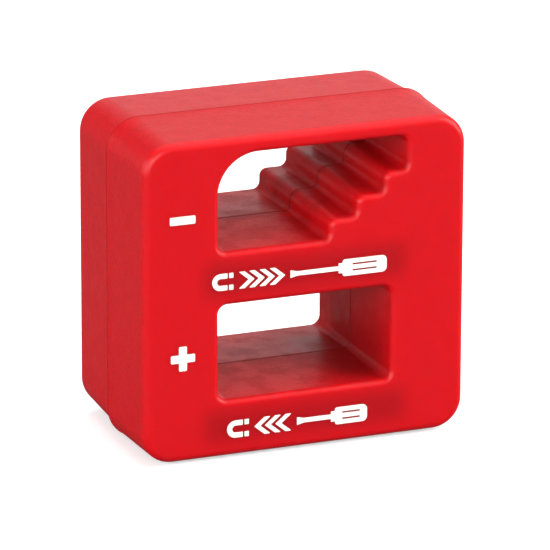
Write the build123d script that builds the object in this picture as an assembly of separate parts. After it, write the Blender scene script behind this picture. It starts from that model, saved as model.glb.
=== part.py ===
from build123d import *
from math import atan, degrees
import os

# Screwdriver magnetizer / demagnetizer block.
# Millimetres. +X is to the right, +Y is from the printed front face to the rear face, +Z is up.
# The origin is at the middle of the underside. The two casing halves meet on the plane Y = 0.

# ---------------------------------------------------------------- casing
WIDTH = 52.0
HEIGHT = 50.0
DEPTH = 29.0
HALF = DEPTH / 2

FRONT_CORNER_RADIUS = 5.2  # the front half's four corners, at the parting plane
REAR_CORNER_RADIUS = 5.6   # the rear half's, if it had no step
FACE_EDGE_RADIUS = 1.2     # rounding round the front and rear faces
FRONT_DRAFT = 0.5          # how much each side of the front half leans in, from parting plane to face
REAR_DRAFT = 0.53          # the same for the rear half
REAR_RIM_STEP = 0.3        # the rear half is this much smaller at the parting plane

OUTER_WALL = 2.0
FACE_WALL = 2.0
TUNNEL_WALL = 1.5          # at the faces; thicker towards the parting plane

# ---------------------------------------------------------------- tunnels, sizes at the two faces
TUNNEL_DRAFT = 0.6         # each tunnel wall leans in by this much, from face to parting plane
MOUTH_RADIUS = 0.9         # rounding round each tunnel mouth
TUNNEL_LEFT = -13.75

PLAIN_RIGHT = 13.75
PLAIN_FLOOR = 9.3
PLAIN_CEILING = 24.05
PLAIN_CORNER = 1.5

STEPPED_RIGHT = 16.2
STEPPED_FLOOR = 32.2
STEPPED_CEILING = 47.0
STEPPED_CORNER = 1.3
STEPPED_BIG_CORNER = 6.4   # the large arc at the upper left
STEP_COUNT = 3
FIRST_RISER = 3.75
STEP_PITCH = 4.35
STEP_RISE = 3.15
STEP_RADIUS = 1.2

# ---------------------------------------------------------------- inside the casing
BOSS_RADIUS = 3.0
BOSS_X = 21.2
BOSS_INSET_Z = 5.0         # from the underside and from the top
PIN_RADIUS = 1.5
PIN_LENGTH = 4.0
SOCKET_CLEARANCE = 0.05
SOCKET_EXTRA_DEPTH = 0.5
TOP_BAR_BOTTOM = 45.0      # over the stepped tunnel the casing is solid above this height

MAGNET_WIDTH = 32.0
MAGNET_LENGTH = 23.6
MIDDLE_MAGNET_HEIGHT = 5.0
LOWER_MAGNET_HEIGHT = 4.0
KEEPER_HEIGHT = 1.0
MAGNET_EDGE = 0.5          # chamfer-like rounding of the sintered blocks
KEEPER_EDGE = 0.15
MIDDLE_MAGNET_BOTTOM = 25.62
KEEPER_BOTTOM = 2.77
POCKET_GAP = 0.1           # between a magnet and the casing or its pad
RIB_THICKNESS = 1.0
RIB_OVERHANG = 1.0         # how far a rib reaches past its magnet, above and below
PAD_MARGIN = 0.4           # a pad is this much smaller than the magnet's end, all round

# ---------------------------------------------------------------- printing on the front face
PRINT_HEIGHT = 0.1
PRINT_CORNER = 0.14
SIGN_X = -19.45
SIGN_STROKE = 1.25
MINUS_WIDTH = 4.0
MINUS_Z = 37.9
PLUS_SIZE = 3.8
PLUS_Z = 16.65

STEPPED_STRIP_LEFT = -14.85
STEPPED_STRIP_WIDTH = 27.7
STEPPED_STRIP_Z = 27.75
STEPPED_STRIP_HEIGHT = 2.6
STEPPED_STRIP_CHEVRONS = 4
PLAIN_STRIP_LEFT = -12.5
PLAIN_STRIP_WIDTH = 22.4
PLAIN_STRIP_Z = 4.7
PLAIN_STRIP_HEIGHT = 2.7
PLAIN_STRIP_CHEVRONS = 3

# Sizes within a pictogram, as shares of its height, or of the handle's or the tool's length where said.
STRIP_SPACE = 0.32         # between the magnet, the arrowheads and the screwdriver
MAGNET_LIMB = 0.3
MAGNET_ARM = 0.42
MAGNET_TIP = 0.26
MAGNET_TIP_GAP = 0.1
CHEVRON_STROKE = 0.36
CHEVRON_REACH = 0.3
CHEVRON_PITCH = 0.62
BLADE_LENGTH = 0.42
BLADE_TIP_HEIGHT = 0.46
SHAFT_HEIGHT = 0.27
COLLAR_LENGTH = 0.24
COLLAR_HEIGHT = 0.6
HANDLE_LENGTH = 0.46       # of the tool's length
HANDLE_CORNER = 0.3
GROOVE_LENGTH = 0.55       # of the handle's length
GROOVE_HEIGHT = 0.1
GROOVE_OFFSET = 0.18

FRONT = -1                 # the side of the parting plane that a half lies on
REAR = 1


# ---------------------------------------------------------------- helpers
def upright_plane(y, facing):
    """A plane at depth y whose local x is +X and local y is +Z, or for the rear, seen from behind."""
    return Plane(origin=(0, y, 0), x_dir=(-facing, 0, 0), z_dir=(0, facing, 0))


def prism(section, side, start, length, inset=0.0):
    """Extrudes a section drawn in front view, from |Y| = start outwards on one side, leaning in by inset."""
    plane = upright_plane(side * start, side)
    drawn = section if side == FRONT else mirror(section, about=Plane.YZ)
    taper = degrees(atan(inset / length))
    return extrude(plane * drawn, amount=length, taper=taper)


def inward_prism(section, side, start, length, inset=0.0):
    """The same, but from |Y| = start towards the parting plane."""
    plane = upright_plane(side * start, -side)
    drawn = section if side == REAR else mirror(section, about=Plane.YZ)
    taper = degrees(atan(inset / length))
    return extrude(plane * drawn, amount=length, taper=taper)


def edges_at_depth(shape, y):
    """The edges that lie wholly in the plane at depth y."""
    near = 1e-4
    return [
        edge
        for edge in shape.edges()
        if abs(edge.bounding_box().min.Y - y) < near and abs(edge.bounding_box().max.Y - y) < near
    ]


def box_between(low, high):
    size = [b - a for a, b in zip(low, high)]
    middle = [(a + b) / 2 for a, b in zip(low, high)]
    return Pos(*middle) * Box(*size)


def rounded_polygon(points, radii):
    """A face through the points, each corner rounded by its own radius."""
    face = make_face(Polyline(*points, close=True))
    for point, radius in zip(points, radii):
        if radius > 0:
            corner = min(face.vertices(), key=lambda v: (Vector(v) - Vector(*point)).length)
            face = fillet(corner, radius)
    return face


# ---------------------------------------------------------------- casing outlines
def casing_outline(side, shrink):
    """The outline of one half of the casing, each side moved in by shrink."""
    radius = FRONT_CORNER_RADIUS if side == FRONT else REAR_CORNER_RADIUS
    outline = RectangleRounded(WIDTH - 2 * shrink, HEIGHT - 2 * shrink, radius - shrink)
    return Pos(0, HEIGHT / 2) * outline


def plain_section(grow=0.0):
    """The plain tunnel at a face, each side moved out by grow."""
    left, right = TUNNEL_LEFT - grow, PLAIN_RIGHT + grow
    floor, ceiling = PLAIN_FLOOR - grow, PLAIN_CEILING + grow
    points = [(left, floor), (right, floor), (right, ceiling), (left, ceiling)]
    return rounded_polygon(points, [PLAIN_CORNER + grow] * len(points))


def stepped_section(grow=0.0):
    """The stepped tunnel at a face, each side moved out by grow: its floor climbs in equal steps."""
    left, right = TUNNEL_LEFT - grow, STEPPED_RIGHT + grow
    floor, ceiling = STEPPED_FLOOR - grow, STEPPED_CEILING + grow
    inner_radius = STEP_RADIUS + grow
    outer_radius = max(STEP_RADIUS - grow, 0.0)
    points = [(left, floor)]
    radii = [STEPPED_CORNER + grow]
    for step in range(STEP_COUNT):
        x = FIRST_RISER + step * STEP_PITCH + grow
        z = floor + step * STEP_RISE
        points += [(x, z), (x, z + STEP_RISE)]
        radii += [inner_radius, outer_radius]
    points += [(right, floor + STEP_COUNT * STEP_RISE), (right, ceiling), (left, ceiling)]
    radii += [STEPPED_CORNER + grow, STEPPED_CORNER + grow, STEPPED_BIG_CORNER + grow]
    return rounded_polygon(points, radii)


def tunnel_sections(grow=0.0):
    return [plain_section(grow), stepped_section(grow)]


# ---------------------------------------------------------------- casing halves
def boss_places():
    return [
        (x, z)
        for x in (-BOSS_X, BOSS_X)
        for z in (BOSS_INSET_Z, HEIGHT - BOSS_INSET_Z)
    ]


def rib_blocks(side):
    """The upright ribs on the face walls that stop the magnets sliding sideways."""
    near, far = sorted((0, side * HALF))
    inner = MAGNET_WIDTH / 2 + POCKET_GAP
    lower_magnet_top = KEEPER_BOTTOM + KEEPER_HEIGHT + LOWER_MAGNET_HEIGHT
    middle_magnet_top = MIDDLE_MAGNET_BOTTOM + MIDDLE_MAGNET_HEIGHT
    blocks = []
    for bottom, top in ((KEEPER_BOTTOM, lower_magnet_top), (MIDDLE_MAGNET_BOTTOM, middle_magnet_top)):
        for left in (-inner - RIB_THICKNESS, inner):
            low = (left, near, bottom - RIB_OVERHANG)
            high = (left + RIB_THICKNESS, far, top + RIB_OVERHANG)
            blocks.append(box_between(low, high))
    return blocks


def cavity(side, rim, draft):
    """The hollow of one half: inside the outer walls, round the tunnel walls, bosses and ribs."""
    depth = HALF - FACE_WALL
    lean = draft * depth / HALF
    hollow = prism(casing_outline(side, rim + OUTER_WALL), side, 0, depth, lean)
    for walled in tunnel_sections(TUNNEL_WALL):
        hollow -= prism(walled, side, 0, HALF)
    for x, z in boss_places():
        hollow -= prism(Pos(x, z) * Circle(BOSS_RADIUS), side, 0, HALF)
    for block in rib_blocks(side):
        hollow -= block
    reach = STEPPED_RIGHT + TUNNEL_WALL
    hollow -= box_between((-reach, -HALF, TOP_BAR_BOTTOM), (reach, HALF, HEIGHT))
    return hollow


def in_tunnel_region(point):
    """Whether a point is within the box round both tunnels, in front view."""
    near = 0.01
    return (
        TUNNEL_LEFT - near < point.X < STEPPED_RIGHT + near
        and PLAIN_FLOOR - near < point.Z < STEPPED_CEILING + near
    )


def half_shell(side, rim, draft):
    shell = prism(casing_outline(side, rim), side, 0, HALF, draft)
    shell = fillet(edges_at_depth(shell, side * HALF), FACE_EDGE_RADIUS)
    for section in tunnel_sections():
        shell -= inward_prism(section, side, HALF, HALF, TUNNEL_DRAFT)
    mouths = [edge for edge in edges_at_depth(shell, side * HALF) if in_tunnel_region(edge.center())]
    shell = fillet(mouths, MOUTH_RADIUS)
    return shell - cavity(side, rim, draft)


def front_shell():
    shell = half_shell(FRONT, 0.0, FRONT_DRAFT)
    for x, z in boss_places():
        shell += prism(Pos(x, z) * Circle(PIN_RADIUS), REAR, 0, PIN_LENGTH)
    return shell


def rear_shell():
    shell = half_shell(REAR, REAR_RIM_STEP, REAR_DRAFT)
    for x, z in boss_places():
        socket = Pos(x, z) * Circle(PIN_RADIUS + SOCKET_CLEARANCE)
        shell -= prism(socket, REAR, 0, PIN_LENGTH + SOCKET_EXTRA_DEPTH)
    return shell


# ---------------------------------------------------------------- magnets, keeper and pads
def magnet_front():
    return -HALF + FACE_WALL + POCKET_GAP


def block(height, bottom, edge):
    """A flat block that fills a pocket's width, standing against the front of the pocket."""
    middle_y = magnet_front() + MAGNET_LENGTH / 2
    solid = Pos(0, middle_y, bottom + height / 2) * Box(MAGNET_WIDTH, MAGNET_LENGTH, height)
    return fillet(solid.edges(), edge)


def middle_magnet():
    return block(MIDDLE_MAGNET_HEIGHT, MIDDLE_MAGNET_BOTTOM, MAGNET_EDGE)


def lower_magnet():
    return block(LOWER_MAGNET_HEIGHT, KEEPER_BOTTOM + KEEPER_HEIGHT, MAGNET_EDGE)


def keeper_plate():
    return block(KEEPER_HEIGHT, KEEPER_BOTTOM, KEEPER_EDGE)


def foam_pad(height, bottom):
    """Fills the gap between a magnet's rear end and the rear wall."""
    front = magnet_front() + MAGNET_LENGTH
    rear = HALF - FACE_WALL - POCKET_GAP
    half_width = MAGNET_WIDTH / 2 - PAD_MARGIN
    low = (-half_width, front, bottom + PAD_MARGIN)
    high = (half_width, rear, bottom + height - PAD_MARGIN)
    return box_between(low, high)


# ---------------------------------------------------------------- printing
def printed(sketch):
    """Lays a sketch, drawn in front view, on the front face as a thin layer."""
    return prism(sketch, FRONT, HALF, PRINT_HEIGHT)


def bar(width, height):
    return RectangleRounded(width, height, PRINT_CORNER)


def minus_sign():
    return Pos(SIGN_X, MINUS_Z) * bar(MINUS_WIDTH, SIGN_STROKE)


def plus_sign():
    cross = bar(PLUS_SIZE, SIGN_STROKE) + bar(SIGN_STROKE, PLUS_SIZE)
    return Pos(SIGN_X, PLUS_Z) * cross


def horseshoe(size):
    """A horseshoe magnet with its poles to the right, size high, from x = 0."""
    limb = MAGNET_LIMB * size
    bend = size / 2
    arm = MAGNET_ARM * size
    tip = MAGNET_TIP * size
    gap = MAGNET_TIP_GAP * size
    ring = Circle(bend) - Circle(bend - limb)
    ring &= Pos(-bend / 2, 0) * Rectangle(bend, size)
    icon = Pos(bend, 0) * ring
    for up in (-1, 1):
        z = up * (size - limb) / 2
        icon += Pos(bend + arm / 2, z) * Rectangle(arm, limb)
        icon += Pos(bend + arm + gap + tip / 2, z) * Rectangle(tip, limb)
    return icon, bend + arm + gap + tip


def chevron(size, pointing):
    """An arrowhead, size high, about x = 0, that points to +X or -X."""
    stroke = CHEVRON_STROKE * size
    reach = CHEVRON_REACH * size
    points = [
        (-reach - stroke / 2, size / 2),
        (-reach + stroke / 2, size / 2),
        (reach + stroke / 2, 0),
        (-reach + stroke / 2, -size / 2),
        (-reach - stroke / 2, -size / 2),
        (reach - stroke / 2, 0),
    ]
    if pointing < 0:
        points = [(-x, z) for x, z in reversed(points)]
    return make_face(Polyline(*points, close=True))


def screwdriver(size, length):
    """A screwdriver with its tip to the left, its handle size high, from x = 0 to x = length."""
    handle = HANDLE_LENGTH * length
    collar = COLLAR_LENGTH * size
    blade = BLADE_LENGTH * size
    tip_height = BLADE_TIP_HEIGHT * size
    shaft_height = SHAFT_HEIGHT * size
    blade_points = [
        (0, tip_height / 2),
        (blade, shaft_height / 2),
        (blade, -shaft_height / 2),
        (0, -tip_height / 2),
    ]
    tool = make_face(Polyline(*blade_points, close=True))
    shaft = length - handle - blade
    tool += Pos(blade + shaft / 2, 0) * Rectangle(shaft, shaft_height)
    tool += Pos(length - handle - collar / 2, 0) * Rectangle(collar, COLLAR_HEIGHT * size)
    middle = length - handle / 2
    grip = Pos(middle, 0) * RectangleRounded(handle, size, HANDLE_CORNER * size)
    groove = Rectangle(GROOVE_LENGTH * handle, GROOVE_HEIGHT * size)
    for up in (-1, 1):
        grip -= Pos(middle, up * GROOVE_OFFSET * size) * groove
    return tool + grip


def pictogram_strip(left, z, width, size, chevrons, pointing):
    """A horseshoe magnet, a run of arrowheads and a screwdriver, side by side."""
    space = STRIP_SPACE * size
    pitch = CHEVRON_PITCH * size
    icon, used = horseshoe(size)
    parts = [Pos(left, z) * icon]
    x = left + used + space
    chevron_length = (2 * CHEVRON_REACH + CHEVRON_STROKE) * size
    for place in range(chevrons):
        middle = x + chevron_length / 2 + place * pitch
        parts.append(Pos(middle, z) * chevron(size, pointing))
    x += chevron_length + (chevrons - 1) * pitch + space
    parts.append(Pos(x, z) * screwdriver(size, left + width - x))
    strip = Sketch()
    for piece in parts:
        strip += piece
    return strip


def demagnetize_strip():
    return pictogram_strip(
        STEPPED_STRIP_LEFT,
        STEPPED_STRIP_Z,
        STEPPED_STRIP_WIDTH,
        STEPPED_STRIP_HEIGHT,
        STEPPED_STRIP_CHEVRONS,
        pointing=1,
    )


def magnetize_strip():
    return pictogram_strip(
        PLAIN_STRIP_LEFT,
        PLAIN_STRIP_Z,
        PLAIN_STRIP_WIDTH,
        PLAIN_STRIP_HEIGHT,
        PLAIN_STRIP_CHEVRONS,
        pointing=-1,
    )


# ---------------------------------------------------------------- the whole block
nodes = {
    "front_shell": front_shell(),
    "rear_shell": rear_shell(),
    "middle_magnet": middle_magnet(),
    "lower_magnet": lower_magnet(),
    "keeper_plate": keeper_plate(),
    "middle_magnet_pad": foam_pad(MIDDLE_MAGNET_HEIGHT, MIDDLE_MAGNET_BOTTOM),
    "lower_magnet_pad": foam_pad(LOWER_MAGNET_HEIGHT, KEEPER_BOTTOM + KEEPER_HEIGHT),
    "plus_mark": printed(plus_sign()),
    "minus_mark": printed(minus_sign()),
    "demagnetize_pictogram": printed(demagnetize_strip()),
    "magnetize_pictogram": printed(magnetize_strip()),
}

os.makedirs("parts", exist_ok=True)
for name, shape in nodes.items():
    export_step(shape, f"parts/{name}.step")
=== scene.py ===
"""Looks of the screwdriver magnetizer / demagnetizer block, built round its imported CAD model.

Outlines are drawn in front view, x to the right and z up, in millimetres. Meshes are in metres.
"""

import math

import bmesh
import bpy
from mathutils import Matrix, Quaternion, Vector
from mathutils.geometry import tessellate_polygon

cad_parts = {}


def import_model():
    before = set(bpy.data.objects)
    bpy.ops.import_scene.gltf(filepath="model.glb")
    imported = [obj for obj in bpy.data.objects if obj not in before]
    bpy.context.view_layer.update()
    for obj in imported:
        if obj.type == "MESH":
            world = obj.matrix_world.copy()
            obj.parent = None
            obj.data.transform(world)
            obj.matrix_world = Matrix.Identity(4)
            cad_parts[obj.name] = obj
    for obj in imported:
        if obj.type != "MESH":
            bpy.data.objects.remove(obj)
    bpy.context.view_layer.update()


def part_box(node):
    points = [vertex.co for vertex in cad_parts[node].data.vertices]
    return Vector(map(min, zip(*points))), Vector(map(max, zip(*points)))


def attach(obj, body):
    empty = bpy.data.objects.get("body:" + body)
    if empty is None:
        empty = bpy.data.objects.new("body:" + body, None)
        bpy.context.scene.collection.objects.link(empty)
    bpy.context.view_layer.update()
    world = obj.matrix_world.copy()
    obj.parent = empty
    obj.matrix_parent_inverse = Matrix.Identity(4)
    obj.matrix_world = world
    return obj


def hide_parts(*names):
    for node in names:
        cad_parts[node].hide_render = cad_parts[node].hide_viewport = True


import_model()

MM = 0.001
FRONT = -1
REAR = 1


def box_mm(node):
    """A node's lowest and highest corners, in millimetres."""
    low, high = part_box(node)
    return low / MM, high / MM


# ---------------------------------------------------------------- sizes from model.glb, in millimetres
front_low, front_high = box_mm("front_shell")
rear_low, rear_high = box_mm("rear_shell")
WIDTH = front_high.x - front_low.x
HEIGHT = front_high.z - front_low.z
PARTING_Y = rear_low.y
FRONT_DEPTH = PARTING_Y - front_low.y
REAR_DEPTH = rear_high.y - PARTING_Y
REAR_RIM_STEP = rear_low.z - front_low.z
PIN_LENGTH = front_high.y - PARTING_Y

# ---------------------------------------------------------------- the casing's shape, in millimetres
FRONT_CORNER_RADIUS = 5.1
REAR_CORNER_RADIUS = 5.6
FACE_EDGE_RADIUS = 1.2
FRONT_DRAFT = 0.5
REAR_DRAFT = 0.53
# How far a wall falls away at the parting plane, and over what depth. The front half's flares out instead.
FRONT_RIM = (-0.13, 3.6)
REAR_RIM = (0.05, 0.5)
TUNNEL_RIM = (0.06, 0.6)
OUTER_WALL = 2.0
FACE_WALL = 2.0
TUNNEL_WALL = 1.5
BOSS_RADIUS = 3.0
BOSS_X = 21.2
BOSS_INSET_Z = 5.0
PIN_RADIUS = 1.5
SOCKET_CLEARANCE = 0.05
SOCKET_EXTRA_DEPTH = 0.5
TOP_BAR_BOTTOM = 45.0
POCKET_GAP = 0.1
RIB_THICKNESS = 1.0
RIB_OVERHANG = 1.0

TUNNEL_DRAFT = 0.6
MOUTH_RADIUS = 0.9
TUNNEL_LEFT = -13.75
PLAIN_RIGHT = 13.75
PLAIN_FLOOR = 9.3
PLAIN_CEILING = 24.05
PLAIN_CORNER = 1.5
STEPPED_RIGHT = 16.2
STEPPED_FLOOR = 32.2
STEPPED_CEILING = 47.0
STEPPED_CORNER = 1.3
STEPPED_BIG_CORNER = 6.4
STEP_COUNT = 3
FIRST_RISER = 3.75
STEP_PITCH = 4.35
STEP_RISE = 3.15
STEP_RADIUS = 1.2

# ---------------------------------------------------------------- fineness of the meshes
ARC_STEP = math.radians(6)
WALL_RINGS = 3
RIM_STEPS = 8
CIRCLE_STEPS = 48
SHARP_ANGLE = math.radians(40)
SMALLEST_BEND = 0.03       # a corner never gets sharper than this radius, in millimetres
TOOL_OVERRUN = 1.0         # how far a cutting solid reaches past the surface that it cuts


# ---------------------------------------------------------------- outlines
def offset_corners(outline, inset):
    """Each corner of an anticlockwise outline of (x, z, radius), with its sides moved inwards.

    Gives the corner, the direction of the side before it, that side's inward normal, and the turn.
    """
    corners = [Vector((x, z)) for x, z, _ in outline]
    moved = []
    for place, corner in enumerate(corners):
        before = (corner - corners[place - 1]).normalized()
        after = (corners[(place + 1) % len(corners)] - corner).normalized()
        normal_before = Vector((-before.y, before.x))
        normal_after = Vector((-after.y, after.x))
        shift = (normal_before + normal_after) / (1 + normal_before.dot(normal_after))
        turn = -before.angle_signed(after)
        moved.append((corner + shift * inset, before, normal_before, turn))
    return moved


def rounded(outline, inset=0.0):
    """Points round an outline of (x, z, radius), each side moved inwards by inset.

    Their number doesn't depend on inset, so two such rings can be joined point to point.
    """
    points = []
    for (x, z, radius), (corner, before, normal, turn) in zip(outline, offset_corners(outline, inset)):
        side = 1 if turn > 0 else -1
        bend = max(radius - side * inset, SMALLEST_BEND)
        reach = bend * math.tan(abs(turn) / 2)
        centre = corner - before * reach + normal * bend * side
        spoke = -normal * bend * side
        steps = max(2, round(abs(turn) / ARC_STEP))
        for step in range(steps + 1):
            points.append(centre + Matrix.Rotation(turn * step / steps, 2) @ spoke)
    return points


def rectangle(left, bottom, right, top, radius=0.0):
    return [(left, bottom, radius), (right, bottom, radius), (right, top, radius), (left, top, radius)]


def circle(x, z, radius):
    turns = [2 * math.pi * step / CIRCLE_STEPS for step in range(CIRCLE_STEPS)]
    return [Vector((x + radius * math.cos(turn), z + radius * math.sin(turn))) for turn in turns]


def casing_outline(radius):
    return rectangle(-WIDTH / 2, 0, WIDTH / 2, HEIGHT, radius)


def plain_outline():
    return rectangle(TUNNEL_LEFT, PLAIN_FLOOR, PLAIN_RIGHT, PLAIN_CEILING, PLAIN_CORNER)


def stepped_outline():
    """The stepped tunnel at a face: its floor climbs to the right in equal steps."""
    outline = [(TUNNEL_LEFT, STEPPED_FLOOR, STEPPED_CORNER)]
    for step in range(STEP_COUNT):
        x = FIRST_RISER + step * STEP_PITCH
        z = STEPPED_FLOOR + step * STEP_RISE
        outline += [(x, z, STEP_RADIUS), (x, z + STEP_RISE, STEP_RADIUS)]
    outline += [
        (STEPPED_RIGHT, STEPPED_FLOOR + STEP_COUNT * STEP_RISE, STEPPED_CORNER),
        (STEPPED_RIGHT, STEPPED_CEILING, STEPPED_CORNER),
        (TUNNEL_LEFT, STEPPED_CEILING, STEPPED_BIG_CORNER),
    ]
    return outline


# ---------------------------------------------------------------- meshes
def ring(mesh, points, y):
    """Vertices at depth y, from points in front view."""
    return [mesh.verts.new(Vector((point.x, y, point.y)) * MM) for point in points]


def skin(mesh, rings):
    """Joins each ring of vertices to the next one by a band of quads."""
    for first, second in zip(rings, rings[1:]):
        for place in range(len(first)):
            after = (place + 1) % len(first)
            mesh.faces.new((first[place], first[after], second[after], second[place]))


def plate(mesh, boundary, holes=()):
    """Fills the flat region between a boundary ring and the rings of its holes."""
    rings = [boundary, *holes]
    vertices = [vertex for each in rings for vertex in each]
    for corners in tessellate_polygon([[vertex.co for vertex in each] for each in rings]):
        mesh.faces.new([vertices[corner] for corner in corners])


def new_object(name, data):
    piece = bpy.data.objects.new(name, data)
    bpy.context.scene.collection.objects.link(piece)
    return piece


def finished_mesh(mesh, name):
    """Turns a bmesh into an object whose faces all point outwards."""
    bmesh.ops.recalc_face_normals(mesh, faces=mesh.faces)
    data = bpy.data.meshes.new(name)
    mesh.to_mesh(data)
    mesh.free()
    return new_object(name, data)


def evaluated_mesh(source):
    return bpy.data.meshes.new_from_object(source.evaluated_get(bpy.context.evaluated_depsgraph_get()))


def prism(points, y_start, y_end, end_points=None):
    """A closed solid between two depths, straight or leaning from one outline to another."""
    mesh = bmesh.new()
    rings = [ring(mesh, points, y_start), ring(mesh, end_points or points, y_end)]
    skin(mesh, rings)
    plate(mesh, rings[0])
    plate(mesh, rings[1])
    return finished_mesh(mesh, "tool")


def combine(piece, tools, operation):
    """Cuts the tools out of a piece, or adds them to it, and removes the tools."""
    for tool in tools:
        change = piece.modifiers.new("combine", "BOOLEAN")
        change.operation = operation
        change.solver = "EXACT"
        change.object = tool
        result = evaluated_mesh(piece)
        piece.modifiers.clear()
        piece.data = result
        bpy.data.objects.remove(tool)


def shade(piece):
    """Smooth shading whose normals follow the large flat faces, with real edges kept sharp."""
    piece.data.shade_smooth()
    piece.data.set_sharp_from_angle(angle=SHARP_ANGLE)
    normals = piece.modifiers.new("normals", "WEIGHTED_NORMAL")
    normals.keep_sharp = True


# ---------------------------------------------------------------- casing
class Half:
    """Sizes of one half of the casing."""

    def __init__(self, side):
        front = side == FRONT
        self.side = side
        self.depth = FRONT_DEPTH if front else REAR_DEPTH
        self.rim = 0.0 if front else REAR_RIM_STEP
        self.draft = FRONT_DRAFT if front else REAR_DRAFT
        self.outer_rim = FRONT_RIM if front else REAR_RIM
        self.flare = max(0.0, -self.outer_rim[0])
        self.outline = casing_outline(FRONT_CORNER_RADIUS if front else REAR_CORNER_RADIUS)

    def y(self, depth):
        return PARTING_Y + self.side * depth


def wall_profile(half, at_parting, at_face, rim, rounding):
    """(inset, depth) pairs of a wall, from the parting plane to the flat of the face.

    Insets grow towards the face on the outside of the casing, and shrink in a tunnel.
    """
    lean = (at_face - at_parting) / half.depth
    outward = 1 if lean > 0 else -1
    slope = math.atan(abs(lean))
    profile = []
    softness, reach = rim
    for step in range(RIM_STEPS + 1):
        share = step / RIM_STEPS
        depth = reach * share
        profile.append((at_parting + lean * depth + outward * softness * (1 - share) ** 3, depth))
    last = half.depth - rounding * (1 - math.sin(slope))
    for step in range(1, WALL_RINGS):
        depth = last * step / WALL_RINGS
        profile.append((at_parting + lean * depth, depth))
    centre = at_parting + lean * last + outward * rounding * math.cos(slope)
    steps = math.ceil((math.pi / 2 - slope) / ARC_STEP)
    for step in range(steps + 1):
        angle = slope + (math.pi / 2 - slope) * step / steps
        inset = centre - outward * rounding * math.cos(angle)
        profile.append((inset, half.depth - rounding * (1 - math.sin(angle))))
    return profile


def wall(mesh, half, outline, profile):
    """Skins a wall, and returns its rings at the parting plane and at the face."""
    rings = [ring(mesh, rounded(outline, inset), half.y(depth)) for inset, depth in profile]
    skin(mesh, rings)
    return rings[0], rings[-1]


def boss_places():
    return [(x, z) for x in (-BOSS_X, BOSS_X) for z in (BOSS_INSET_Z, HEIGHT - BOSS_INSET_Z)]


MAGNET_STACKS = [("keeper_plate", "lower_magnet"), ("middle_magnet", "middle_magnet")]


def rib_outlines():
    """The ribs beside both magnets, the lower of which lies on the keeper plate."""
    outlines = []
    for lowest, highest in MAGNET_STACKS:
        low = box_mm(lowest)[0]
        high = box_mm(highest)[1]
        for inner, outer in ((low.x - POCKET_GAP, -RIB_THICKNESS), (high.x + POCKET_GAP, RIB_THICKNESS)):
            left, right = sorted((inner, inner + outer))
            outlines.append(rectangle(left, low.z - RIB_OVERHANG, right, high.z + RIB_OVERHANG))
    return outlines


def cavity(half):
    """The hollow of one half: inside the outer walls, round the tunnel walls, bosses and ribs."""
    deep = half.depth - FACE_WALL
    inset = half.rim + OUTER_WALL
    start = rounded(half.outline, inset)
    end = rounded(half.outline, inset + half.draft * deep / half.depth)
    hollow = prism(start, half.y(-TOOL_OVERRUN), half.y(deep), end)
    reach = STEPPED_RIGHT + TUNNEL_WALL
    kept = [rounded(plain_outline(), -TUNNEL_WALL), rounded(stepped_outline(), -TUNNEL_WALL)]
    kept += [circle(x, z, BOSS_RADIUS) for x, z in boss_places()]
    kept += [rounded(outline) for outline in rib_outlines()]
    kept.append(rounded(rectangle(-reach, TOP_BAR_BOTTOM, reach, HEIGHT + TOOL_OVERRUN)))
    near = half.y(-2 * TOOL_OVERRUN)
    far = half.y(half.depth + TOOL_OVERRUN)
    combine(hollow, [prism(points, near, far) for points in kept], "DIFFERENCE")
    return hollow


def casing_half(side, name):
    half = Half(side)
    mesh = bmesh.new()
    at_parting = half.rim + half.flare
    at_face = half.rim + half.draft
    outside = wall_profile(half, at_parting, at_face, half.outer_rim, FACE_EDGE_RADIUS)
    tunnel = wall_profile(half, TUNNEL_DRAFT, 0.0, TUNNEL_RIM, MOUTH_RADIUS)
    outer_rim, outer_face = wall(mesh, half, half.outline, outside)
    plain_rim, plain_mouth = wall(mesh, half, plain_outline(), tunnel)
    stepped_rim, stepped_mouth = wall(mesh, half, stepped_outline(), tunnel)
    plate(mesh, outer_rim, [plain_rim, stepped_rim])
    plate(mesh, outer_face, [plain_mouth, stepped_mouth])
    shell = finished_mesh(mesh, name)
    combine(shell, [cavity(half)], "DIFFERENCE")
    if side == FRONT:
        start, end = half.y(TOOL_OVERRUN), half.y(-PIN_LENGTH)
        combine(shell, [prism(circle(x, z, PIN_RADIUS), start, end) for x, z in boss_places()], "UNION")
    else:
        radius = PIN_RADIUS + SOCKET_CLEARANCE
        start, end = half.y(-TOOL_OVERRUN), half.y(PIN_LENGTH + SOCKET_EXTRA_DEPTH)
        combine(shell, [prism(circle(x, z, radius), start, end) for x, z in boss_places()], "DIFFERENCE")
    shade(shell)
    return shell


# ---------------------------------------------------------------- magnets, keeper and pads
MAGNET_EDGE = 0.5
KEEPER_EDGE = 0.15
PAD_EDGE = 0.25
MAGNET_EDGE_STEPS = 4
THIN_EDGE_STEPS = 3


def block(node, name, edge, steps):
    """A block with rounded edges, the size of a CAD node."""
    low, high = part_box(node)
    size = Matrix.Diagonal((*(high - low), 1))
    mesh = bmesh.new()
    bmesh.ops.create_cube(mesh, size=1, matrix=Matrix.Translation((low + high) / 2) @ size)
    bmesh.ops.bevel(mesh, geom=mesh.edges, offset=edge * MM, segments=steps, affect="EDGES", profile=0.5)
    piece = finished_mesh(mesh, name)
    shade(piece)
    return piece


def magnet_block(node, name):
    return block(node, name, MAGNET_EDGE, MAGNET_EDGE_STEPS)


def keeper(node, name):
    return block(node, name, KEEPER_EDGE, THIN_EDGE_STEPS)


def pad(node, name):
    return block(node, name, PAD_EDGE, THIN_EDGE_STEPS)


# ---------------------------------------------------------------- printing
INK_SOFTNESS = 0.03        # the rounded edge of the ink, in millimetres
SIGN_CORNER = 0.2
INNER_SIGN_CORNER = 0.06
PICTOGRAM_CORNER = 0.07


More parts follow.
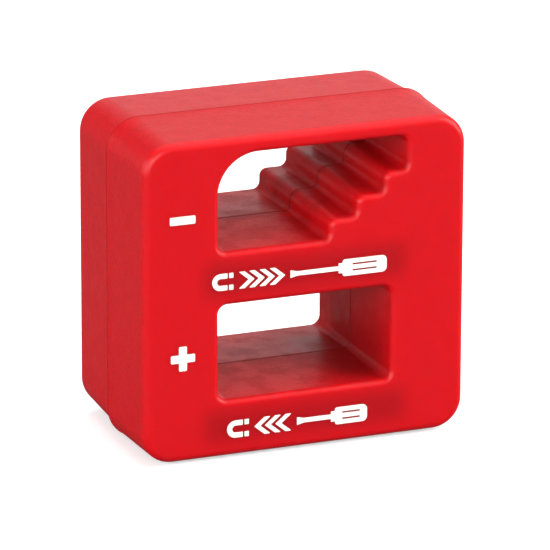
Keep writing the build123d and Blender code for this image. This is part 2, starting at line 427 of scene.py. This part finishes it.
def printed(node, name, outlines, holes=()):
    """Ink on the front face, as thick as its CAD node: flat shapes with softened edges."""
    low, high = box_mm(node)
    drawing = bpy.data.curves.new(name, "CURVE")
    drawing.dimensions = "2D"
    drawing.fill_mode = "BOTH"
    for outline in [*outlines, *holes]:
        points = rounded(outline)
        spline = drawing.splines.new("POLY")
        spline.points.add(len(points) - 1)
        for target, point in zip(spline.points, points):
            target.co = (point.x * MM, point.y * MM, 0, 1)
        spline.use_cyclic_u = True
    drawing.offset = -INK_SOFTNESS * MM
    drawing.bevel_depth = INK_SOFTNESS * MM
    drawing.bevel_resolution = 2
    drawing.extrude = ((high.y - low.y) / 2 - INK_SOFTNESS) * MM
    source = new_object(name, drawing)
    bpy.context.view_layer.update()
    data = evaluated_mesh(source)
    bpy.data.objects.remove(source)
    upright = Matrix.Rotation(math.radians(90), 4, "X")
    data.transform(Matrix.Translation((0, (low.y + high.y) / 2 * MM, 0)) @ upright)
    piece = new_object(name, data)
    shade(piece)
    return piece


def node_middle(node):
    low, high = box_mm(node)
    return (low + high) / 2, high - low


def minus_outlines():
    low, high = box_mm("minus_mark")
    return [rectangle(low.x, low.z, high.x, high.z, SIGN_CORNER)]


def plus_outlines():
    """A cross, as one outline with twelve corners."""
    middle, size = node_middle("plus_mark")
    stroke = node_middle("minus_mark")[1].z / 2
    reach = size.x / 2
    arm = [
        (stroke, -stroke, INNER_SIGN_CORNER),
        (reach, -stroke, SIGN_CORNER),
        (reach, stroke, SIGN_CORNER),
    ]
    outline = []
    for quarter in range(4):
        spin = Matrix.Rotation(math.radians(90 * quarter), 2)
        for x, z, radius in arm:
            point = spin @ Vector((x, z))
            outline.append((middle.x + point.x, middle.z + point.y, radius))
    return [outline]


# Sizes within a pictogram, as shares of its height, or of the tool's or the handle's length where said.
STRIP_SPACE = 0.32
MAGNET_LIMB = 0.3
MAGNET_ARM = 0.42
MAGNET_TIP = 0.26
MAGNET_TIP_GAP = 0.1
CHEVRON_STROKE = 0.36
CHEVRON_REACH = 0.3
CHEVRON_PITCH = 0.62
BLADE_LENGTH = 0.42
BLADE_TIP_HEIGHT = 0.46
SHAFT_HEIGHT = 0.27
COLLAR_LENGTH = 0.24
COLLAR_HEIGHT = 0.6
HANDLE_LENGTH = 0.46       # of the tool's length
HANDLE_CORNER = 0.3
GROOVE_LENGTH = 0.55       # of the handle's length
GROOVE_HEIGHT = 0.1
GROOVE_OFFSET = 0.18


def horseshoe(size):
    """A horseshoe magnet with its poles to the right, about z = 0 from x = 0, and its length."""
    limb = MAGNET_LIMB * size
    half = size / 2
    arm_end = half + MAGNET_ARM * size
    tip_start = arm_end + MAGNET_TIP_GAP * size
    tip_end = tip_start + MAGNET_TIP * size
    corner = PICTOGRAM_CORNER
    body = [
        (0, -half, half),
        (arm_end, -half, corner),
        (arm_end, limb - half, corner),
        (limb, limb - half, half - limb),
        (limb, half - limb, half - limb),
        (arm_end, half - limb, corner),
        (arm_end, half, corner),
        (0, half, half),
    ]
    lower_tip = rectangle(tip_start, -half, tip_end, limb - half, corner)
    upper_tip = rectangle(tip_start, half - limb, tip_end, half, corner)
    return [body, lower_tip, upper_tip], tip_end


TO_RIGHT = 1
TO_LEFT = -1


def chevron(size, pointing):
    """An arrowhead about x = 0 that points to the right or the left."""
    inner = (CHEVRON_REACH - CHEVRON_STROKE / 2) * size
    outer = (CHEVRON_REACH + CHEVRON_STROKE / 2) * size
    corner = PICTOGRAM_CORNER
    half = size / 2
    points = [(-outer, -half), (-inner, -half), (outer, 0), (-inner, half), (-outer, half), (inner, 0)]
    if pointing == TO_LEFT:
        points = [(-x, z) for x, z in reversed(points)]
    return [(x, z, corner) for x, z in points]


def screwdriver(size, length):
    """A screwdriver with its tip to the left, from x = 0, and the two grooves in its handle."""
    handle = HANDLE_LENGTH * length
    grip = length - handle
    collar = grip - COLLAR_LENGTH * size
    blade = BLADE_LENGTH * size
    corner = PICTOGRAM_CORNER
    upper = [
        (length, size / 2, HANDLE_CORNER * size),
        (grip, size / 2, HANDLE_CORNER * size / 2),
        (grip, COLLAR_HEIGHT * size / 2, corner),
        (collar, COLLAR_HEIGHT * size / 2, corner),
        (collar, SHAFT_HEIGHT * size / 2, corner),
        (blade, SHAFT_HEIGHT * size / 2, corner),
        (0, BLADE_TIP_HEIGHT * size / 2, corner),
    ]
    lower = [(x, -z, radius) for x, z, radius in reversed(upper)]
    middle = length - handle / 2
    reach = GROOVE_LENGTH * handle / 2
    grooves = []
    for offset in (-GROOVE_OFFSET * size, GROOVE_OFFSET * size):
        low, high = offset - GROOVE_HEIGHT * size / 2, offset + GROOVE_HEIGHT * size / 2
        grooves.append(rectangle(middle - reach, low, middle + reach, high, corner))
    return upper + lower, grooves


def moved(outline, x, z):
    return [(x + px, z + pz, radius) for px, pz, radius in outline]


def pictogram(node, name, chevrons, pointing):
    """A horseshoe magnet, a run of arrowheads and a screwdriver, side by side in a CAD node's box."""
    low, high = box_mm(node)
    size = high.z - low.z
    z = (low.z + high.z) / 2
    space = STRIP_SPACE * size
    icon, used = horseshoe(size)
    outlines = [moved(outline, low.x, z) for outline in icon]
    x = low.x + used + space
    chevron_length = (2 * CHEVRON_REACH + CHEVRON_STROKE) * size
    for place in range(chevrons):
        middle = x + chevron_length / 2 + place * CHEVRON_PITCH * size
        outlines.append(moved(chevron(size, pointing), middle, z))
    x += chevron_length + (chevrons - 1) * CHEVRON_PITCH * size + space
    tool, grooves = screwdriver(size, high.x - x)
    outlines.append(moved(tool, x, z))
    return printed(node, name, outlines, [moved(groove, x, z) for groove in grooves])


# ---------------------------------------------------------------- material helpers
class Nodes:
    """A material's node tree, with short ways to add and link nodes."""

    def __init__(self, name):
        self.material = bpy.data.materials.new(name)
        self.material.use_nodes = True
        self.tree = self.material.node_tree
        self.shader = self.tree.nodes["Principled BSDF"]
        self.output = self.tree.nodes["Material Output"]
        coordinates = self.add("ShaderNodeTexCoord").outputs
        self.place = coordinates["Object"]
        self.normal = coordinates["Normal"]

    def add(self, kind, **settings):
        node = self.tree.nodes.new(kind)
        for key, value in settings.items():
            setattr(node, key, value)
        return node

    def feed(self, socket, value):
        """Links an output to a socket, or sets the socket to a constant."""
        if isinstance(value, bpy.types.NodeSocket):
            self.tree.links.new(value, socket)
        else:
            socket.default_value = value

    def constants(self, **values):
        """Sets the shader's own sockets, such as coat_weight for Coat Weight."""
        for key, value in values.items():
            self.shader.inputs[key.replace("_", " ").title().replace("Ior", "IOR")].default_value = value

    def math(self, operation, first, second=0.0, third=0.0):
        node = self.add("ShaderNodeMath", operation=operation)
        for socket, value in zip(node.inputs, (first, second, third)):
            self.feed(socket, value)
        return node.outputs[0]

    def product(self, first, *others):
        for other in others:
            first = self.math("MULTIPLY", first, other)
        return first

    def sum_of(self, base, *terms):
        """A base value plus each value times its weight."""
        for value, weight in terms:
            base = self.math("MULTIPLY_ADD", value, weight, base)
        return base

    def split(self, vector):
        """The X, Y and Z outputs of a vector."""
        node = self.add("ShaderNodeSeparateXYZ")
        self.feed(node.inputs[0], vector)
        return node.outputs

    def ramp(self, value, low, high, to_low=0.0, to_high=1.0):
        """Turns a value from one range into another, held at its ends."""
        node = self.add("ShaderNodeMapRange", interpolation_type="SMOOTHSTEP")
        for socket, number in zip(node.inputs, (value, low, high, to_low, to_high)):
            self.feed(socket, number)
        return node.outputs[0]

    def fade(self, value, span, to_low=0.0, to_high=1.0):
        """The same, between two places given in millimetres."""
        return self.ramp(value, span[0] * MM, span[1] * MM, to_low, to_high)

    def noise(self, grain, detail=2.0, roughness=0.5, place=None):
        """Noise whose grains are about so many millimetres across."""
        node = self.add("ShaderNodeTexNoise")
        self.feed(node.inputs["Vector"], place or self.place)
        node.inputs["Scale"].default_value = 1 / (grain * MM)
        node.inputs["Detail"].default_value = detail
        node.inputs["Roughness"].default_value = roughness
        return node.outputs["Fac"]

    def mix(self, factor, first, second):
        node = self.add("ShaderNodeMix", data_type="RGBA")
        for socket, value in zip((node.inputs[0], node.inputs[6], node.inputs[7]), (factor, first, second)):
            self.feed(socket, value)
        return node.outputs[2]

    def bump(self, height, depth, strength=1.0, under=None):
        """A bump of so many millimetres, over another one if given."""
        node = self.add("ShaderNodeBump")
        node.inputs["Distance"].default_value = depth * MM
        self.feed(node.inputs["Strength"], strength)
        self.feed(node.inputs["Height"], height)
        if under is not None:
            self.feed(node.inputs["Normal"], under)
        return node.outputs["Normal"]

    def finish(self, colour, roughness, normal):
        self.feed(self.shader.inputs["Base Color"], colour)
        self.feed(self.shader.inputs["Roughness"], roughness)
        self.feed(self.shader.inputs["Normal"], normal)
        return self.material


# ---------------------------------------------------------------- the casing's plastic
RED = (0.50, 0.0040, 0.0080, 1)
DEEP_RED = (0.41, 0.0022, 0.005, 1)
DEEP_SHARE = 0.25                          # the most of it that a blotch takes
SHADED_RED = (0.35, 0.0030, 0.0066, 1)     # where a magnet shows darkly through the face
TUNNEL_RED = (0.52, 0.0042, 0.0070, 1)
PAINTED_LIGHT_RED = (0.9, 0.0045, 0.0075, 1)      # painted light on the tunnel floors, towards the rear and the left, where light comes in from behind
GRIME_AND_SHADE_RED = (0.22, 0.0015, 0.0030, 1)      # grime in the texture and the tunnels, painted shade in the tunnels, and grime with painted shade at the seam
SCATTER = (1.0, 0.04, 0.05)
SCATTER_DEPTH = 2.4        # how far red light strays in the plastic, in millimetres
SHADOW_BLUR = 4.0          # how softly a magnet's edge shows through, in millimetres

# Between these shares of a normal that point towards a face, a surface turns from a side into a face.
FACE_TURN = (0.55, 0.9)
FLOOR_TURN = (0.6, 0.9)    # the same for a floor, and the share that points up

# Between these places, in millimetres, each effect fades.
TUNNEL_SIDES = (18.0, 20.0)        # left or right of the middle
TUNNEL_MIDDLE = 27.5               # above the floor
TUNNEL_ENDS = (20.0, 21.2)         # above or below that
TUNNEL_COLOUR_Y = (-18.5, -8.0)    # more of the tunnel's colour, away from the front mouth
TUNNEL_COLOUR = (0.45, 0.9)
# painted light on the tunnel floors fades out towards the right and in towards the rear
PAINTED_LIGHT_X = (-8.0, 8.0)
PAINTED_LIGHT_Y = (-12.0, 4.0)
# painted shade in the tunnels: darker towards the right, at mid-depth and low down, where the right wall
# shades the floor
PAINTED_SHADE_X = (2.0, 10.0)
PAINTED_SHADE_Y = (-12.0, 9.0)
PAINTED_SHADE_BLUR = 8.0
PAINTED_SHADE_Z = (10.0, 23.0)
UPPER_PAINTED_SHADE = 0.35                  # how much of the painted shade is left above that

SPECK_GRIME = 0.5
SMUDGE_GRIME = 0.35
PAINTED_SHADE_STRENGTH = 0.85
SEAM_REACH = 0.45          # how far the grime and painted shade reach from the seam, in millimetres
SEAM_CORE = 0.1            # the share of that reach where it is at its strongest
SEAM_GRIME_AND_SHADE = 0.75
TUNNEL_SEAM = 0.55         # how much of it is left inside the tunnels

FACE_ROUGHNESS = (0.30, 0.34)
SEAM_ROUGHNESS = 0.4
SIDE_ROUGHNESS = 0.06
TUNNEL_ROUGHNESS = -0.05
SMUDGE_ROUGHNESS = 0.09
ERODED_DEPTH = 0.05        # the fine texture of the sides and tunnels, in millimetres
ERODED_ON_FACE = 0.03      # how much of it the two faces have
PEEL_DEPTH = 0.03
PEEL_STRENGTH = 0.05


def inside_range(nodes, value, low, high, blur):
    """1 between two places along an axis, given in millimetres, fading to 0 outside them."""
    rise = nodes.fade(value, (low - blur / 2, low + blur / 2))
    fall = nodes.fade(value, (high - blur / 2, high + blur / 2), 1.0, 0.0)
    return nodes.math("MULTIPLY", rise, fall)


def magnet_shadow(nodes, where):
    """1 where a magnet lies close behind the face, in front view."""
    shadows = []
    for lowest, highest in MAGNET_STACKS:
        low, high = box_mm(lowest)[0], box_mm(highest)[1]
        across = inside_range(nodes, where["X"], low.x, high.x, SHADOW_BLUR)
        up = inside_range(nodes, where["Z"], low.z, high.z, SHADOW_BLUR)
        shadows.append(nodes.math("MULTIPLY", across, up))
    return nodes.math("MAXIMUM", *shadows)


def tunnel_mask(nodes, where, to_side):
    """1 on the walls of both tunnels, 0 outside them."""
    across = nodes.math("ABSOLUTE", where["X"])
    up = nodes.math("ABSOLUTE", nodes.math("SUBTRACT", where["Z"], TUNNEL_MIDDLE * MM))
    inside_x = nodes.fade(across, TUNNEL_SIDES, 1.0, 0.0)
    inside_z = nodes.fade(up, TUNNEL_ENDS, 1.0, 0.0)
    return nodes.product(inside_x, inside_z, to_side)


def base_colour_with_painted_light(nodes, where, facing, in_tunnel, blotches):
    """The plastic's colour under its grime, with painted shade where a magnet lies behind the face, and
    painted light on the tunnel floors towards the rear and the left.
    """
    colour = nodes.mix(nodes.ramp(blotches, 0.35, 0.75, 0.0, DEEP_SHARE), RED, DEEP_RED)
    colour = nodes.mix(magnet_shadow(nodes, where), colour, SHADED_RED)
    # painted light: the tunnel floors lighter towards the rear and the left, where light comes in from
    # behind
    painted_light = nodes.product(
        nodes.ramp(facing["Z"], *FLOOR_TURN),
        in_tunnel,
        nodes.fade(where["X"], PAINTED_LIGHT_X, 1.0, 0.0),
        nodes.fade(where["Y"], PAINTED_LIGHT_Y),
    )
    amount = nodes.product(in_tunnel, nodes.fade(where["Y"], TUNNEL_COLOUR_Y, *TUNNEL_COLOUR))
    return nodes.mix(amount, colour, nodes.mix(painted_light, TUNNEL_RED, PAINTED_LIGHT_RED))


def grime_and_shade_mask(nodes, where, to_side, in_tunnel, smudged):
    """Grime as specks on all sides and smudges in the tunnels, and painted shade at the tunnels' right and
    below.
    """
    specks = nodes.ramp(nodes.noise(0.4, detail=2.0, roughness=0.6), 0.5, 0.72)
    # painted shade: the tunnels darker towards the right, at mid-depth and low down
    painted_shade = nodes.product(
        nodes.fade(where["X"], PAINTED_SHADE_X),
        in_tunnel,
        inside_range(nodes, where["Y"], *PAINTED_SHADE_Y, PAINTED_SHADE_BLUR),
        nodes.fade(where["Z"], PAINTED_SHADE_Z, 1.0, UPPER_PAINTED_SHADE),
    )
    grime = nodes.product(specks, to_side, SPECK_GRIME)
    grime = nodes.math("MAXIMUM", grime, nodes.product(smudged, SMUDGE_GRIME))
    return nodes.math("MAXIMUM", grime, nodes.product(painted_shade, PAINTED_SHADE_STRENGTH))


def seam_mask(nodes, where, in_tunnel):
    """Grime and painted shade along the line where the halves meet, less of it in the tunnels."""
    away = nodes.math("ABSOLUTE", nodes.math("SUBTRACT", where["Y"], PARTING_Y * MM))
    seam = nodes.fade(away, (SEAM_CORE * SEAM_REACH, SEAM_REACH), SEAM_GRIME_AND_SHADE, 0.0)
    return nodes.product(seam, nodes.ramp(in_tunnel, 0.0, 1.0, 1.0, TUNNEL_SEAM))


def red_plastic():
    """Slightly translucent moulded plastic: satin faces, and finely eroded sides and tunnels."""
    nodes = Nodes("red_plastic")
    facing = nodes.split(nodes.normal)
    where = nodes.split(nodes.place)
    to_side = nodes.ramp(nodes.math("ABSOLUTE", facing["Y"]), *FACE_TURN, 1.0, 0.0)
    in_tunnel = tunnel_mask(nodes, where, to_side)
    eroded = nodes.noise(0.4, detail=3.0, roughness=0.65)
    blotches = nodes.noise(2.6, detail=3.0, roughness=0.6)
    smudges = nodes.ramp(nodes.noise(4.5, detail=3.0, roughness=0.6), 0.38, 0.64)
    smudged = nodes.product(smudges, in_tunnel)
    seam = seam_mask(nodes, where, in_tunnel)

    colour = base_colour_with_painted_light(nodes, where, facing, in_tunnel, blotches)
    # darker with grime, and with painted shade in the tunnels and along the seam
    colour = nodes.mix(grime_and_shade_mask(nodes, where, to_side, in_tunnel, smudged), colour, GRIME_AND_SHADE_RED)
    colour = nodes.mix(seam, colour, GRIME_AND_SHADE_RED)
    rough = nodes.sum_of(
        nodes.ramp(blotches, 0.3, 0.7, *FACE_ROUGHNESS),
        (seam, SEAM_ROUGHNESS),
        (to_side, SIDE_ROUGHNESS),
        (in_tunnel, TUNNEL_ROUGHNESS),
        (smudged, SMUDGE_ROUGHNESS),
    )
    fine = nodes.bump(eroded, ERODED_DEPTH, strength=nodes.ramp(to_side, 0.0, 1.0, ERODED_ON_FACE, 1.0))
    peel = nodes.bump(blotches, PEEL_DEPTH, strength=PEEL_STRENGTH, under=fine)
    nodes.constants(ior=1.47, specular_ior_level=0.25)
    nodes.constants(subsurface_weight=1.0, subsurface_scale=SCATTER_DEPTH * MM, subsurface_radius=SCATTER)
    return nodes.finish(colour, rough, peel)


# ---------------------------------------------------------------- the other materials
INK_WHITE = (0.78, 0.77, 0.71, 1)
THIN_INK = (0.69, 0.67, 0.62, 1)
CHARCOAL = (0.012, 0.012, 0.013, 1)
WORN_CHARCOAL = (0.045, 0.043, 0.042, 1)
ZINC = (0.55, 0.56, 0.58, 1)
WARM_ZINC = (0.68, 0.67, 0.62, 1)
ROLLED_STRETCH = (0.04, 1.0, 1.0)          # draws the noise out along the sheet
FOAM_CELL = 0.3                            # in millimetres
FOAM_GREY = (0.11, 0.11, 0.115, 1)
FOAM_GAP = (0.03, 0.03, 0.032, 1)


def white_ink():
    """Screen-printed ink, a little uneven, with pinholes too small to show the red."""
    nodes = Nodes("white_ink")
    mottle = nodes.noise(0.5, detail=3.0, roughness=0.6)
    colour = nodes.mix(nodes.ramp(mottle, 0.35, 0.75), INK_WHITE, THIN_INK)
    rough = nodes.ramp(mottle, 0.3, 0.7, 0.42, 0.55)
    return nodes.finish(colour, rough, nodes.bump(nodes.noise(0.12), 0.008, strength=0.4))


def ferrite():
    """Sintered ceramic: charcoal, granular and slightly chipped."""
    nodes = Nodes("ferrite")
    grain = nodes.noise(0.35, detail=4.0, roughness=0.65)
    cloud = nodes.noise(4.0, detail=2.0)
    tone = nodes.math("MULTIPLY_ADD", cloud, 0.5, nodes.math("MULTIPLY", grain, 0.5))
    colour = nodes.mix(nodes.ramp(tone, 0.35, 0.65), CHARCOAL, WORN_CHARCOAL)
    rough = nodes.ramp(grain, 0.3, 0.7, 0.45, 0.7)
    pits = nodes.ramp(nodes.noise(0.9, detail=2.0), 0.3, 0.42)
    nodes.constants(metallic=0.15)
    return nodes.finish(colour, rough, nodes.bump(pits, 0.06, under=nodes.bump(grain, 0.03)))


def keeper_steel():
    """Zinc-plated sheet, with the fine lines of rolling along its length."""
    nodes = Nodes("keeper_steel")
    stretched = nodes.add("ShaderNodeVectorMath", operation="MULTIPLY")
    nodes.feed(stretched.inputs[0], nodes.place)
    stretched.inputs[1].default_value = ROLLED_STRETCH
    lines = nodes.noise(0.08, detail=3.0, place=stretched.outputs[0])
    spangle = nodes.noise(1.5, detail=2.0)
    colour = nodes.mix(nodes.ramp(spangle, 0.35, 0.7), ZINC, WARM_ZINC)
    rough = nodes.ramp(lines, 0.3, 0.7, 0.28, 0.45)
    nodes.constants(metallic=1.0)
    return nodes.finish(colour, rough, nodes.bump(lines, 0.006, strength=0.5))


def grey_foam():
    """Closed-cell foam: small rounded cells."""
    nodes = Nodes("grey_foam")
    cells = nodes.add("ShaderNodeTexVoronoi", feature="F1")
    nodes.feed(cells.inputs["Vector"], nodes.place)
    cells.inputs["Scale"].default_value = 1 / (FOAM_CELL * MM)
    distance = cells.outputs["Distance"]
    colour = nodes.mix(nodes.ramp(distance, 0.2, 0.8), FOAM_GREY, FOAM_GAP)
    rough = nodes.ramp(distance, 0.2, 0.8, 0.8, 0.95)
    return nodes.finish(colour, rough, nodes.bump(distance, 0.08))


# ---------------------------------------------------------------- the pieces
plastic, ink, magnet, steel, foam = red_plastic(), white_ink(), ferrite(), keeper_steel(), grey_foam()
STEPPED_STRIP = "demagnetize_pictogram"
PLAIN_STRIP = "magnetize_pictogram"
PIECES = [
    ("front_shell", casing_half(FRONT, "front_casing"), plastic, "casing"),
    ("rear_shell", casing_half(REAR, "rear_casing"), plastic, "casing"),
    ("middle_magnet", magnet_block("middle_magnet", "middle_ferrite_block"), magnet, "ferrite"),
    ("lower_magnet", magnet_block("lower_magnet", "lower_ferrite_block"), magnet, "ferrite"),
    ("keeper_plate", keeper("keeper_plate", "steel_keeper"), steel, "keeper_steel"),
    ("middle_magnet_pad", pad("middle_magnet_pad", "middle_foam_pad"), foam, "foam"),
    ("lower_magnet_pad", pad("lower_magnet_pad", "lower_foam_pad"), foam, "foam"),
    ("minus_mark", printed("minus_mark", "minus_print", minus_outlines()), ink, "print"),
    ("plus_mark", printed("plus_mark", "plus_print", plus_outlines()), ink, "print"),
    (STEPPED_STRIP, pictogram(STEPPED_STRIP, "stepped_tunnel_print", 4, TO_RIGHT), ink, "print"),
    (PLAIN_STRIP, pictogram(PLAIN_STRIP, "plain_tunnel_print", 3, TO_LEFT), ink, "print"),
]
for node, piece, material, slot in PIECES:
    piece.data.materials.clear()
    piece.data.materials.append(material)
    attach(piece, "root")
    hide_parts(node)


# ---------------------------------------------------------------- studio
CENTRE = Vector((0, 0, HEIGHT / 2)) * MM
FLOOR_REACH = 3.0
SKY_LEVEL = 0.18
FLOOR_GREY = 0.13          # as the block sees it
FLOOR_WHITE = 0.8          # as the camera sees it
FLOOR_GLOW = 0.42
# Each softbox's name, its azimuth and elevation in degrees, its distance, width and height in metres,
# and its brightness.
SOFTBOXES = [
    ("strip", 44, 42, 0.8, 0.5, 0.16, 1.8),
    ("key", 62, 18, 0.7, 0.55, 0.7, 6.0),
    ("front", -42, 12, 1.2, 2.4, 0.9, 5.5),
    ("top", 110, 76, 0.9, 1.3, 1.1, 1.85),
    ("back_left", -113, 10, 1.0, 0.9, 0.5, 2.3),
    ("back", 152, 10, 2.0, 2.0, 0.8, 0.76),
]


def direction(azimuth, elevation):
    """The unit vector from the block towards a place in the studio, in degrees from the front."""
    a, e = math.radians(azimuth), math.radians(elevation)
    return Vector((math.sin(a) * math.cos(e), -math.cos(a) * math.cos(e), math.sin(e)))


def floor():
    """A plain pale floor, which the camera sees as white and the block sees as a softer grey."""
    mesh = bmesh.new()
    bmesh.ops.create_grid(mesh, x_segments=1, y_segments=1, size=FLOOR_REACH)
    piece = finished_mesh(mesh, "floor")
    nodes = Nodes("floor")
    nodes.constants(roughness=0.9, emission_strength=FLOOR_GLOW)
    nodes.shader.inputs["Emission Color"].default_value = (1, 1, 1, 1)
    nodes.shader.inputs["Base Color"].default_value = (FLOOR_WHITE, FLOOR_WHITE, FLOOR_WHITE, 1)
    soft = nodes.add("ShaderNodeBsdfDiffuse")
    soft.inputs["Color"].default_value = (FLOOR_GREY, FLOOR_GREY, FLOOR_GREY, 1)
    choice = nodes.add("ShaderNodeMixShader")
    nodes.feed(choice.inputs[0], nodes.add("ShaderNodeLightPath").outputs["Is Camera Ray"])
    nodes.feed(choice.inputs[1], soft.outputs[0])
    nodes.feed(choice.inputs[2], nodes.shader.outputs[0])
    nodes.feed(nodes.output.inputs[0], choice.outputs[0])
    piece.data.materials.append(nodes.material)


def world():
    sky = bpy.data.worlds.new("studio")
    sky.use_nodes = True
    sky.node_tree.nodes["Background"].inputs["Color"].default_value = (1, 1, 1, 1)
    sky.node_tree.nodes["Background"].inputs["Strength"].default_value = SKY_LEVEL
    bpy.context.scene.world = sky


def softbox(name, azimuth, elevation, distance, width, height, brightness):
    """A rectangular light of even brightness, aimed at the block."""
    data = bpy.data.lights.new(name, "AREA")
    data.shape = "RECTANGLE"
    data.size = width
    data.size_y = height
    data.energy = brightness * math.pi * width * height
    lamp = new_object(name, data)
    back = direction(azimuth, elevation)
    lamp.location = CENTRE + back * distance
    lamp.rotation_mode = "QUATERNION"
    lamp.rotation_quaternion = (-back).to_track_quat("-Z", "Y")


CAMERA_AZIMUTH = -21.7
CAMERA_ELEVATION = 17.8
CAMERA_ROLL = 0.19
CAMERA_DISTANCE = 0.816
CAMERA_LENS = 356.5
AIM_RIGHT = 0.79           # where the camera aims, right of the block's middle, in millimetres
AIM_UP = -1.95


def camera():
    data = bpy.data.cameras.new("camera")
    data.lens = CAMERA_LENS
    data.sensor_width = 36
    data.clip_start = 0.05
    data.clip_end = 20
    piece = new_object("camera", data)
    back = direction(CAMERA_AZIMUTH, CAMERA_ELEVATION)
    right = Vector((0, 0, 1)).cross(back).normalized()
    up = back.cross(right)
    piece.location = CENTRE + back * CAMERA_DISTANCE
    aim = CENTRE + right * AIM_RIGHT * MM + up * AIM_UP * MM
    look = (aim - piece.location).to_track_quat("-Z", "Y")
    piece.rotation_mode = "QUATERNION"
    piece.rotation_quaternion = look @ Quaternion((0, 0, 1), math.radians(CAMERA_ROLL))
    bpy.context.scene.camera = piece


floor()
world()
for settings in SOFTBOXES:
    softbox(*settings)
camera()
bpy.context.scene.view_settings.view_transform = "Standard"
